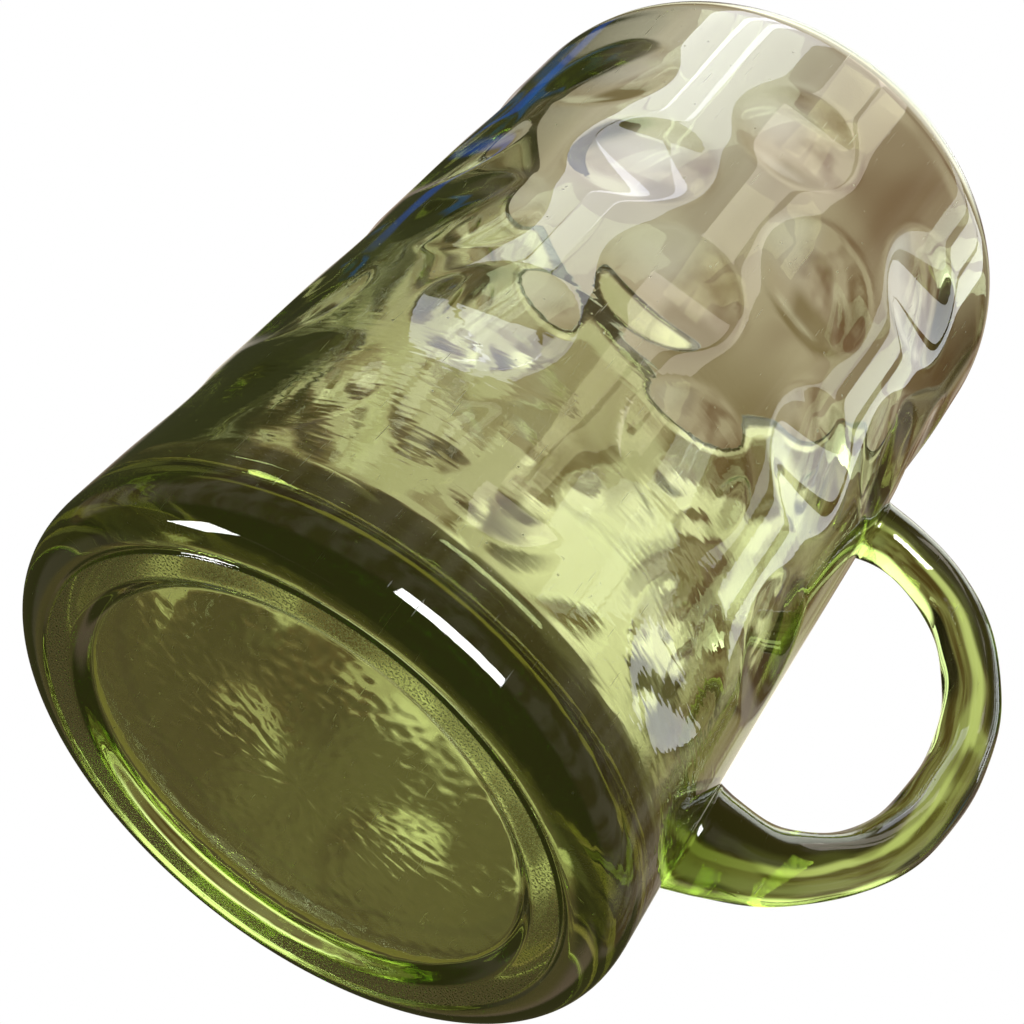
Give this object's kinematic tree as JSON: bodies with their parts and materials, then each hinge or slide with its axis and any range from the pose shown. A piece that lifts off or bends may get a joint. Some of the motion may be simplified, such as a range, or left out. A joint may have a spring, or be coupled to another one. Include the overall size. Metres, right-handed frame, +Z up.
{
  "type": "glass mug",
  "caption": "Green glass beer mug with rows of round thumbprint hollows, a thick recessed foot and a fused round-section loop handle.",
  "frame": {"origin": "on the plane that the foot ring stands on, under the middle of the bounding box of the body and handle; the mug's own axis stands at x = -15.5 mm, y = 0", "axes": "+Z up the mug's axis from the foot to the rim, +X from the mug's axis towards the handle"},
  "size_m": [0.117, 0.086, 0.131],
  "materials": {
    "body_glass": "fire-polished pressed soda-lime glass, olive green, clearer towards the rim",
    "handle_glass": "fire-polished drawn soda-lime glass rod, olive green"
  },
  "bodies": {
    "root": {"glass_body": "body_glass", "glass_handle": "handle_glass"}
  },
  "joints": []
}
